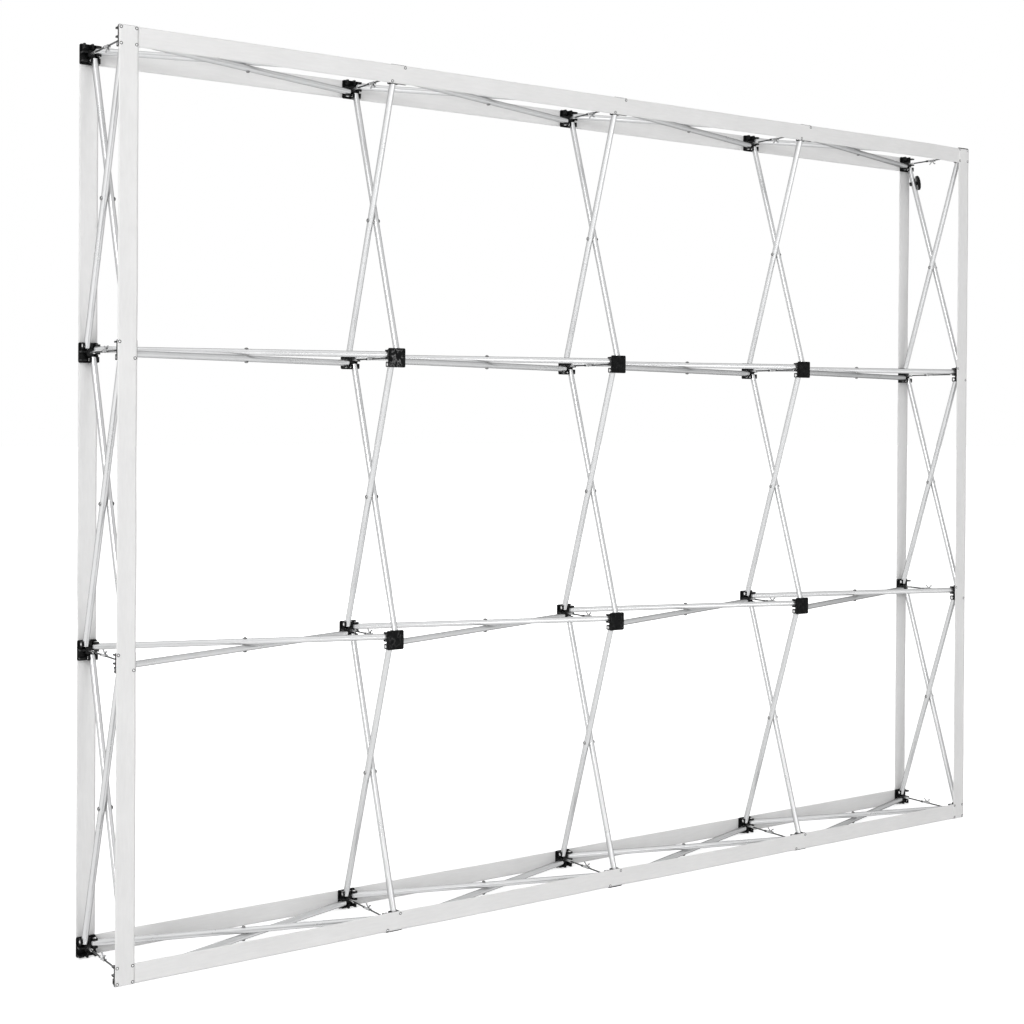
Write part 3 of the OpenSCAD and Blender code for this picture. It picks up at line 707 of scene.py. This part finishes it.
@dataclass
class LoopBands:
    """The eight hook-and-loop bands, riveted to the outer hubs of both faces.

    The nudges put a band's middle off single hubs, counted from the left or from below, and a slip
    leaves its far end short, as on the real frame. Waves are in features per metre.
    """

    lattice: Lattice
    paint: Paint
    width: float = 0.048
    thick: float = 0.0010
    seat_gap: float = 0.0001
    lap: float = 0.0012
    step: float = 0.012
    strips: int = 10
    end_cuts: tuple[float, ...] = (0.0004, 0.001, 0.002)
    corner_r: float = 0.0035
    held_half: float = 0.028
    free_run: float = 0.13
    bow: float = 0.0011
    cup: float = 0.0013
    cup_least: float = 0.6
    cup_level: float = 0.3
    twist: float = 0.00176
    slow_wave: float = 3.1
    quick_wave: float = 7.3
    quick_share: float = 0.4
    turn_wave: float = 2.3
    edge_wave: float = 4.7
    edge_spread: float = 20.0
    edge_wander: float = 0.0006
    ramp: float = 0.014
    nudge_run: float = 0.11
    nudges: dict[tuple[Face, Side], dict[int, float]] = field(
        default_factory=lambda: {
            (Face.FRONT, Side.TOP): {4: -0.0022},
            (Face.FRONT, Side.BOTTOM): {1: 0.0016, 2: 0.0022, 3: 0.0008},
        }
    )
    slip_run: float = 0.06
    slips: dict[tuple[Face, Side], float] = field(
        default_factory=lambda: {(Face.FRONT, Side.RIGHT): 0.003}
    )

    def looseness(self, along: float, hubs: Iterable[float]) -> float:
        """Tell how free the band is at a place: 0 on a hub, 1 well away from all hubs."""
        return smooth_step(self.held_half, self.held_half + self.free_run, min(abs(along - h) for h in hubs))

    def wave(self, along: float, rate: float, seed: float, layer: float) -> float:
        """Give a smooth random wave along a band, from about -1 to 1.

        Args:
            along: Place along the band.
            rate: Features per metre.
            seed: Number that makes each band's waves its own.
            layer: Number that keeps the waves of one band apart.

        Returns:
            The height of the wave at the place.
        """
        return noise.noise(Vector((along * rate, seed, layer)))

    def lift(self, along: float, across: float, hubs: list[float], seed: float) -> float:
        """Give how far the band stands out from its flat place.

        Args:
            along: Place along the band.
            across: Place across it.
            hubs: Places of the hubs along it.
            seed: Number that makes each band's waves its own.

        Returns:
            Distance outwards, in metres.
        """
        loose = self.looseness(along, hubs)
        side = 2.0 * across / self.width
        slow = self.wave(along, self.slow_wave, seed, 0.0)
        quick = self.wave(along, self.quick_wave, seed, 4.0)
        turn = self.wave(along, self.turn_wave, seed, 9.0)
        bowed = self.bow * (slow + self.quick_share * quick)
        cupped = self.cup * (side * side - self.cup_level) * (self.cup_least + turn)
        return loose * (bowed + cupped + self.twist * side * turn)

    def nudge(self, along: float, hubs: list[float], places: dict[int, float]) -> float:
        """Give how far the band sits off the middle of the hubs near a place."""
        return sum(off * math.exp(-(((along - hubs[k]) / self.nudge_run) ** 2)) for k, off in places.items())

    def stack(self, along: float, length: float, upright: bool) -> float:
        """Give the height of the band's middle surface over the plates, with the lap of an upright one."""
        flat = self.thick * 0.5 + self.seat_gap
        if not upright:
            return flat
        end = length / 2.0 - abs(along)
        return flat + self.lap * (1.0 - smooth_step(self.width, self.width + self.ramp, end))

    def outline(self, along: float, length: float) -> float:
        """Give the share of the half width that remains near the rounded ends."""
        end = length / 2.0 - abs(along)
        if end >= self.corner_r:
            return 1.0
        rest = self.corner_r - end
        cut = self.corner_r - math.sqrt(max(self.corner_r**2 - rest**2, 0.0))
        return 1.0 - cut / (self.width / 2.0)

    def sheet_shape(self, length: float) -> bmesh.types.BMesh:
        """Make a band's flat grid, X along it and Y across it, with its UV map in metres."""
        shape = bmesh.new()
        uv = shape.loops.layers.uv.new("cloth")
        bmesh.ops.create_grid(shape, x_segments=round(length / self.step), y_segments=self.strips, size=0.5)
        bmesh.ops.scale(shape, vec=(length, self.width, 1.0), verts=shape.verts)
        for end in (-1.0, 1.0):
            for inset in self.end_cuts:
                bmesh.ops.bisect_plane(
                    shape,
                    geom=shape.verts[:] + shape.edges[:] + shape.faces[:],
                    plane_co=(end * (length / 2.0 - inset), 0.0, 0.0),
                    plane_no=(1.0, 0.0, 0.0),
                )
        for face in shape.faces:
            for loop in face.loops:
                loop[uv].uv = (loop.vert.co.x, loop.vert.co.y)
        return shape

    def build_band(self, face: Face, side: Side) -> bpy.types.Object:
        """Make one band.

        Args:
            face: Front or rear.
            side: Which of the face's four bands.

        Returns:
            The finished piece.
        """
        level, sign = side.value
        node = f"{face.name}_{side.name}_band".lower()
        low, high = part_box(node)
        length = (high.x - low.x) if level else (high.z - low.z)
        middle = (low + high) / 2.0
        if level:
            hubs = [self.lattice.column_x(i) - middle.x for i in range(self.lattice.columns)]
        else:
            hubs = [self.lattice.row_z(j) - middle.z for j in range(self.lattice.rows)]
        seed = 3.0 * face.value + 11.0 * sign + (5.0 if level else 0.0)
        shape = self.sheet_shape(length)
        plates = face.value * self.lattice.depth / 2.0
        places = self.nudges.get((face, side), {})
        slip = self.slips.get((face, side), 0.0)
        for vert in shape.verts:
            along, across = vert.co.x, vert.co.y
            out = self.stack(along, length, not level) + self.lift(along, across, hubs, seed)
            across *= self.outline(along, length)
            wander = self.wave(along, self.edge_wave, seed, across * self.edge_spread)
            across += self.edge_wander * self.looseness(along, hubs) * wander
            across += self.nudge(along, hubs, places)
            along -= slip * smooth_step(length / 2.0 - self.slip_run, length / 2.0, along)
            x, z = (along, across) if level else (across, along)
            vert.co = (middle.x + x, plates + face.value * out, middle.z + z)
        bmesh.ops.recalc_face_normals(shape, faces=shape.faces)
        piece = mesh_piece(f"{node}_loop_tape", shape)
        add_thickness(piece, self.thick)
        self.paint.dress(piece, Finish.BAND)
        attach(piece, FRAME_BODY)
        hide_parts(node)
        LOG.info("%s: %.0f by %.0f mm", piece.name, self.width * MM_PER_M, length * MM_PER_M)
        return piece

    def build(self) -> list[bpy.types.Object]:
        """Make all eight bands."""
        return [self.build_band(face, side) for face in Face for side in Side]


def solid_boxes(node: bpy.types.Object) -> list[tuple[Vector, Vector]]:
    """Give the box of each separate solid of a CAD node.

    Args:
        node: The node's object, which isn't changed.

    Returns:
        Lowest and highest corner of each solid.
    """
    shape = bmesh.new()
    shape.from_mesh(node.data)
    bmesh.ops.remove_doubles(shape, verts=shape.verts, dist=MERGE_DISTANCE)
    waiting = set(shape.verts)
    boxes = []
    while waiting:
        fresh = [waiting.pop()]
        places = []
        while fresh:
            vert = fresh.pop()
            places.append(vert.co.copy())
            beside = {edge.other_vert(vert) for edge in vert.link_edges} & waiting
            waiting -= beside
            fresh.extend(beside)
        boxes.append((Vector(map(min, *places)), Vector(map(max, *places))))
    shape.free()
    return boxes


@dataclass
class BandRivets:
    """The rivet heads that hold the bands on the outer hubs of one face."""

    face: Face
    cad: bpy.types.Object
    paint: Paint
    radius: float = 0.004
    height: float = 0.0016
    rim_height: float = 0.0008
    dome_r: float = 0.0022
    groove: float = 0.0003
    sink: float = 0.0004
    steps: int = 16

    def profile(self) -> list[tuple[float, float]]:
        """Give the head's half section as radius and height over its seat."""
        groove_r = self.dome_r + self.groove
        dome = [
            (0.0, self.height),
            (self.dome_r * 0.55, self.height * 0.93),
            (self.dome_r * 0.9, self.height * 0.72),
            (self.dome_r, self.rim_height * 0.6),
        ]
        # The rim points, which get the painted shade ring round the dome.
        shade_ring = [
            (groove_r, self.rim_height * 0.5),
            (groove_r + 0.0005, self.rim_height),
            (self.radius - 0.0004, self.rim_height * 0.9),
            (self.radius, self.rim_height * 0.4),
        ]
        foot = [(self.radius, -self.sink), (0.0, -self.sink)]
        return dome + shade_ring + foot

    def head(self) -> bmesh.types.BMesh:
        """Make one head on the Z axis, with its UV map's U the radius."""
        shape = turned_shape(self.profile(), self.steps)
        bmesh.ops.recalc_face_normals(shape, faces=shape.faces)
        uv = shape.loops.layers.uv.new("radius")
        for flat in shape.faces:
            for loop in flat.loops:
                loop[uv].uv = (math.hypot(loop.vert.co.x, loop.vert.co.y), 0.0)
        return shape

    def build(self) -> bpy.types.Object:
        """Set a head on every rivet of the face."""
        head = self.head()
        single = bpy.data.meshes.new("band_rivet_head")
        head.to_mesh(single)
        head.free()
        outwards = Matrix.Rotation(-self.face.value * math.pi / 2.0, 4, "X")
        shape = bmesh.new()
        boxes = solid_boxes(self.cad)
        for low, high in boxes:
            top = high.y if self.face is Face.REAR else low.y
            seat = (low + high) / 2.0
            seat.y = top - self.face.value * self.height
            placed = len(shape.verts)
            shape.from_mesh(single)
            shape.verts.ensure_lookup_table()
            bmesh.ops.transform(shape, matrix=Matrix.Translation(seat) @ outwards, verts=shape.verts[placed:])
        bpy.data.meshes.remove(single)
        piece = mesh_piece(f"{self.face.name.lower()}_rivet_heads", shape)
        self.paint.dress(piece, Finish.RIVET)
        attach(piece, FRAME_BODY)
        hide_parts(self.cad.name)
        LOG.info("%s: %d rivets", piece.name, len(boxes))
        return piece


def largest_face(shape: bmesh.types.BMesh) -> bmesh.types.BMFace:
    """Give the face of a shape with the largest area."""
    return max(shape.faces, key=lambda face: face.calc_area())


@dataclass
class HookPatches:
    """The hook patches on the inner front hubs, which hold the middle of a banner.

    The glint share of each patch, by column and row, is how strongly its painted crease highlights show.
    """

    lattice: Lattice
    paint: Paint
    side: float = 0.047
    thick: float = 0.0011
    seat_gap: float = 0.00005
    corner_r: float = 0.004
    corner_steps: int = 4
    border: float = 0.0022
    sink: float = 0.0003
    glint_share: dict[tuple[int, int], float] = field(
        default_factory=lambda: {
            (1, 2): 1.0,
            (1, 1): 0.2,
            (2, 2): 0.05,
            (2, 1): 0.1,
            (3, 2): 0.05,
            (3, 1): 0.05,
        }
    )

    def build_patch(self, i: int, j: int) -> bpy.types.Object:
        """Make the patch of one hub."""
        shape = bmesh.new()
        glint_share = shape.verts.layers.float.new(GLINT_LAYER)
        uv = shape.loops.layers.uv.new("cloth")
        bmesh.ops.create_grid(shape, x_segments=1, y_segments=1, size=self.side / 2.0)
        bmesh.ops.bevel(
            shape,
            geom=shape.verts[:],
            offset=self.corner_r,
            segments=self.corner_steps,
            profile=0.5,
            affect="VERTICES",
            material=-1,
        )
        bmesh.ops.inset_region(shape, faces=shape.faces[:], thickness=self.border * 0.5, depth=0.0)
        inner = [largest_face(shape)]
        bmesh.ops.inset_region(shape, faces=inner, thickness=self.border * 0.5, depth=self.sink)
        bmesh.ops.triangulate(shape, faces=[largest_face(shape)])
        for face in shape.faces:
            for loop in face.loops:
                loop[uv].uv = (loop.vert.co.x, loop.vert.co.y)
                # Each patch's share of painted crease highlight goes on its points.
                loop.vert[glint_share] = self.glint_share[i, j]
        plates = -self.lattice.depth / 2.0 - self.thick / 2.0 - self.seat_gap
        place = Matrix.Translation((self.lattice.column_x(i), plates, self.lattice.row_z(j)))
        bmesh.ops.transform(shape, matrix=place @ Matrix.Rotation(math.pi / 2.0, 4, "X"), verts=shape.verts)
        bmesh.ops.recalc_face_normals(shape, faces=shape.faces)
        piece = mesh_piece(f"hook_patch_c{i}_r{j}", shape, smooth=False)
        add_thickness(piece, self.thick)
        self.paint.dress(piece, Finish.PATCH)
        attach(piece, FRAME_BODY)
        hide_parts("front_hook_patches")
        return piece

    def build(self) -> list[bpy.types.Object]:
        """Make the patches of all inner hubs."""
        inner_columns = range(1, self.lattice.columns - 1)
        inner_rows = range(1, self.lattice.rows - 1)
        pieces = [self.build_patch(i, j) for i in inner_columns for j in inner_rows]
        LOG.info("hook patches: %d of %.0f mm", len(pieces), self.side * MM_PER_M)
        return pieces


@dataclass
class HandKnob:
    """The round hand knob on the tube under the top right hub."""

    paint: Paint
    radius: float = 0.025
    rim: float = 0.008
    standoff: float = 0.0115
    neck_r: float = 0.007
    neck_start: float = 0.0083
    dish: float = 0.0025
    dish_r: float = 0.018
    boss_r: float = 0.0065
    scallops: int = 12
    scallop_depth: float = 0.0013
    scallop_run: float = 0.005
    scallop_edge: float = 0.0005
    scallop_power: float = 1.5
    rounding: float = 0.0020
    rounding_steps: int = 6
    steps: int = 144

    def profile(self) -> list[tuple[float, float]]:
        """Give the knob's half section as radius and height along its axis."""
        face = self.standoff + self.rim
        low_r, low_h = self.dish_r - self.dish, face - self.dish
        neck = [
            (0.0, self.neck_start),
            (self.neck_r - 0.0004, self.neck_start),
            (self.neck_r, self.neck_start + 0.0004),
            (self.neck_r, self.standoff - 0.0003),
            (self.neck_r + 0.0008, self.standoff),
        ]
        rim = self.fillet(self.radius - self.rounding, self.standoff + self.rounding, -90.0, 0.0)
        rim += self.fillet(self.radius - self.rounding, face - self.rounding, 0.0, 90.0)
        dish = [
            (self.dish_r + 0.001, face),
            (self.dish_r, face - 0.0003),
            (low_r + 0.0004, low_h + 0.0003),
            (low_r - 0.0004, low_h),
        ]
        boss = [
            (self.boss_r + 0.0006, low_h),
            (self.boss_r, low_h + 0.0005),
            (self.boss_r - 0.0003, face - 0.0012),
            (self.boss_r - 0.0012, face - 0.0007),
            (self.boss_r - 0.002, face - 0.0007),
            (0.0, face - 0.0006),
        ]
        return neck + rim + dish + boss

    def fillet(self, centre_r: float, centre_h: float, start: float, end: float) -> list[tuple[float, float]]:
        """Give the points of a round of the rim between two angles in degrees."""
        points = []
        for k in range(self.rounding_steps + 1):
            turn = math.radians(start + (end - start) * k / self.rounding_steps)
            out, up = math.cos(turn), math.sin(turn)
            points.append((centre_r + self.rounding * out, centre_h + self.rounding * up))
        return points

    def build(self, joint: dict) -> bpy.types.Object:
        """Make the knob on its joint's axis.

        Args:
            joint: The record's joint, which gives the place and the direction of the axis.

        Returns:
            The finished piece.
        """
        shape = turned_shape(self.profile(), self.steps)
        for vert in shape.verts:
            radius = math.hypot(vert.co.x, vert.co.y)
            share = smooth_step(self.radius - self.scallop_run, self.radius - self.scallop_edge, radius)
            angle = math.atan2(vert.co.y, vert.co.x)
            wave = max(math.cos(self.scallops * angle), 0.0) ** self.scallop_power
            scale = 1.0 - share * wave * self.scallop_depth / self.radius
            vert.co.x *= scale
            vert.co.y *= scale
        turn = Vector((0, 0, 1)).rotation_difference(Vector(joint["axis"])).to_matrix().to_4x4()
        bmesh.ops.transform(shape, matrix=Matrix.Translation(joint["pos_m"]) @ turn, verts=shape.verts)
        bmesh.ops.recalc_face_normals(shape, faces=shape.faces)
        piece = mesh_piece("hand_knob_moulding", shape)
        self.paint.dress(piece, Finish.KNOB)
        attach(piece, KNOB_BODY)
        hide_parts("hand_knob")
        LOG.info("hand knob: %.0f mm across, %d scallops", 2.0 * self.radius * MM_PER_M, self.scallops)
        return piece


@dataclass
class MetalAndMouldings:
    """The CAD nodes whose shape is right, which get their finishes."""

    nodes: dict[str, bpy.types.Object]
    paint: Paint
    by_slot: dict[str, Finish] = field(
        default_factory=lambda: {finish.value.name: finish for finish in Finish}
    )
    by_node: dict[str, Finish] = field(
        default_factory=lambda: {"row_cross_rivets": Finish.CROSS, "column_cross_rivets": Finish.CROSS}
    )

    def build(self, subparts: list[dict]) -> None:
        """Dress every CAD node by its slot in the record.

        Args:
            subparts: The record's list of nodes and slots.
        """
        for part in subparts:
            node = self.nodes[part["node"]]
            finish = self.by_node.get(node.name, self.by_slot[part["material_slot"]])
            self.paint.dress(node, finish)
            LOG.info("%s: %s", node.name, finish.value.name)


@dataclass(frozen=True)
class Lamp:
    """A square soft lamp: its name, place, side in metres and power in watts."""

    name: str
    at: Triple
    side: float
    watts: float


@dataclass
class Studio:
    """Plain pale floor, soft lamps, and the camera at the photograph's viewing angle.

    Angles are in degrees. The azimuth runs from straight at the front face towards its right.
    """

    camera_at: Triple = (-2.9198, -3.7991, 1.3397)
    azimuth: float = 34.798
    pitch: float = -0.458
    roll: float = 0.358
    lens: float = 57.871
    sensor: float = 36.0
    shift: float = -0.0808
    view_depth: float = 200.0
    surround: float = 0.37
    sky_strength: float = 0.5
    sky_spread: float = 75.0
    sky_tilt: tuple[float, float] = (12.0, -14.0)
    lamps: tuple[Lamp, ...] = (
        Lamp("key", (-6.8, -4.8, 4.6), 3.4, 285.0),
        Lamp("low front", (0.3, -5.6, 0.3), 3.0, 92.0),
        Lamp("back", (2.5, 7.0, 2.6), 3.4, 150.0),
    )
    aim: Triple = (0.0, 0.0, 1.1)
    floor_size: float = 60.0
    floor_gap: float = 0.0002

    def camera(self) -> bpy.types.Object:
        """Place the camera that was fitted to the photograph's hub centres."""
        data = bpy.data.cameras.new("camera")
        data.sensor_width = self.sensor
        data.lens = self.lens
        data.shift_y = self.shift
        data.clip_end = self.view_depth
        piece = bpy.data.objects.new("camera", data)
        bpy.context.scene.collection.objects.link(piece)
        azimuth, pitch, roll = (math.radians(v) for v in (self.azimuth, self.pitch, self.roll))
        level = math.cos(pitch)
        ahead = Vector((math.sin(azimuth) * level, math.cos(azimuth) * level, math.sin(pitch)))
        flat_right = Vector((math.cos(azimuth), -math.sin(azimuth), 0.0))
        flat_up = flat_right.cross(ahead)
        right = math.cos(roll) * flat_right + math.sin(roll) * flat_up
        up = -math.sin(roll) * flat_right + math.cos(roll) * flat_up
        turn = Matrix((right, up, -ahead)).transposed().to_4x4()
        piece.matrix_world = Matrix.Translation(self.camera_at) @ turn
        bpy.context.scene.camera = piece
        return piece

    def light(self, lamp: Lamp) -> bpy.types.Object:
        """Add one of the square lamps, facing the wall."""
        data = bpy.data.lights.new(lamp.name, "AREA")
        data.size = lamp.side
        data.energy = lamp.watts
        piece = bpy.data.objects.new(lamp.name, data)
        bpy.context.scene.collection.objects.link(piece)
        piece.location = lamp.at
        piece.rotation_euler = (Vector(self.aim) - Vector(lamp.at)).to_track_quat("-Z", "Y").to_euler()
        return piece

    def sky(self) -> bpy.types.Object:
        """Add a wide soft light from above."""
        data = bpy.data.lights.new("overhead", "SUN")
        data.energy = self.sky_strength
        data.angle = math.radians(self.sky_spread)
        piece = bpy.data.objects.new("overhead", data)
        bpy.context.scene.collection.objects.link(piece)
        piece.rotation_euler = (*(math.radians(tilt) for tilt in self.sky_tilt), 0.0)
        return piece

    def world(self) -> None:
        """Set a soft even surround that the camera, metal and glass see as white."""
        world = bpy.data.worlds.new("surround")
        bpy.context.scene.world = world
        world.use_nodes = True
        tree = world.node_tree
        tree.nodes.clear()
        output = tree.nodes.new("ShaderNodeOutputWorld")
        choice = tree.nodes.new("ShaderNodeMixShader")
        tree.links.new(white_rays(tree), choice.inputs[0])
        for slot, strength in ((1, self.surround), (2, 1.0)):
            shade = tree.nodes.new("ShaderNodeBackground")
            shade.inputs["Color"].default_value = (*grey(1.0), 1.0)
            shade.inputs["Strength"].default_value = strength
            tree.links.new(shade.outputs[0], choice.inputs[slot])
        tree.links.new(choice.outputs[0], output.inputs["Surface"])

    def floor(self) -> bpy.types.Object:
        """Lay the floor just under the frame."""
        shape = bmesh.new()
        bmesh.ops.create_grid(shape, x_segments=1, y_segments=1, size=self.floor_size)
        bmesh.ops.translate(shape, vec=(0.0, 0.0, -self.floor_gap), verts=shape.verts)
        piece = mesh_piece("floor", shape, smooth=False)
        piece.data.materials.append(FloorFinish().build())
        return piece

    def build(self) -> None:
        """Set up the whole studio."""
        self.camera()
        self.world()
        self.floor()
        self.sky()
        for lamp in self.lamps:
            self.light(lamp)
        bpy.context.scene.view_settings.view_transform = "Standard"
        LOG.info("studio: camera at %s, lens %.1f mm", self.camera_at, self.lens)


def main() -> None:
    """Load the frame, build and dress every piece, and set up the studio."""
    logging.basicConfig(level=logging.INFO, format="%(message)s")
    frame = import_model()
    record = frame["record"]
    paint = Paint()
    lattice = Lattice()
    knob_joint = next(joint for joint in frame["joints"] if joint["child"] == KNOB_BODY)
    makers: list[Callable[[], object]] = [
        lambda: MetalAndMouldings(frame["nodes"], paint).build(record["subparts"]),
        LoopBands(lattice, paint).build,
        BandRivets(Face.FRONT, frame["nodes"]["front_band_rivets"], paint).build,
        BandRivets(Face.REAR, frame["nodes"]["rear_band_rivets"], paint).build,
        HookPatches(lattice, paint).build,
        lambda: HandKnob(paint).build(knob_joint),
        Studio().build,
    ]
    for make in makers:
        make()


if __name__ == "__main__":
    main()
